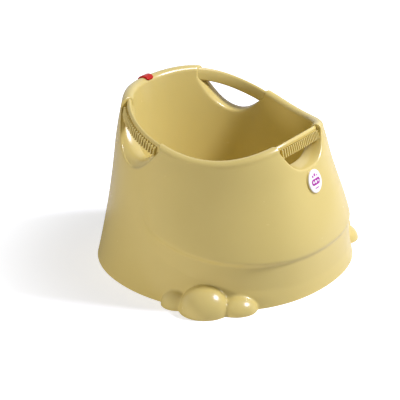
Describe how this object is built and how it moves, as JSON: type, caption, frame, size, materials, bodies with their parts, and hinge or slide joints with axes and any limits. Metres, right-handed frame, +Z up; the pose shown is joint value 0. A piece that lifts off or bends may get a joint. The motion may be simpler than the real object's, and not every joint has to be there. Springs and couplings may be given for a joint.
{
  "type": "baby bathtub",
  "caption": "Round sit-in baby bathtub with a high back, double moulded wall, three slotted carry handles in the rim, rounded toes at its foot and a drain plug.",
  "frame": {"origin": "on the floor, under the middle of the tub's bounding box", "axes": "+Z up, the front of the tub with its front handle and badge faces -Y, +X across the tub to its right as seen from the front"},
  "size_m": [0.4814, 0.4266, 0.2907],
  "materials": {
    "tub_plastic": "glossy injection-moulded polypropylene, pale yellow",
    "soft_rubber": "soft matt thermoplastic rubber, off-white",
    "badge_plastic": null,
    "red_plastic": "glossy red moulded plastic"
  },
  "bodies": {
    "root": {"tub_shell": "tub_plastic", "drain_plug": "soft_rubber", "seat_mat": "soft_rubber", "foot_front_left": "soft_rubber", "foot_front_right": "soft_rubber", "foot_back_left": "soft_rubber", "foot_back_right": "soft_rubber", "badge": "badge_plastic", "rim_clip": "red_plastic"}
  },
  "joints": []
}
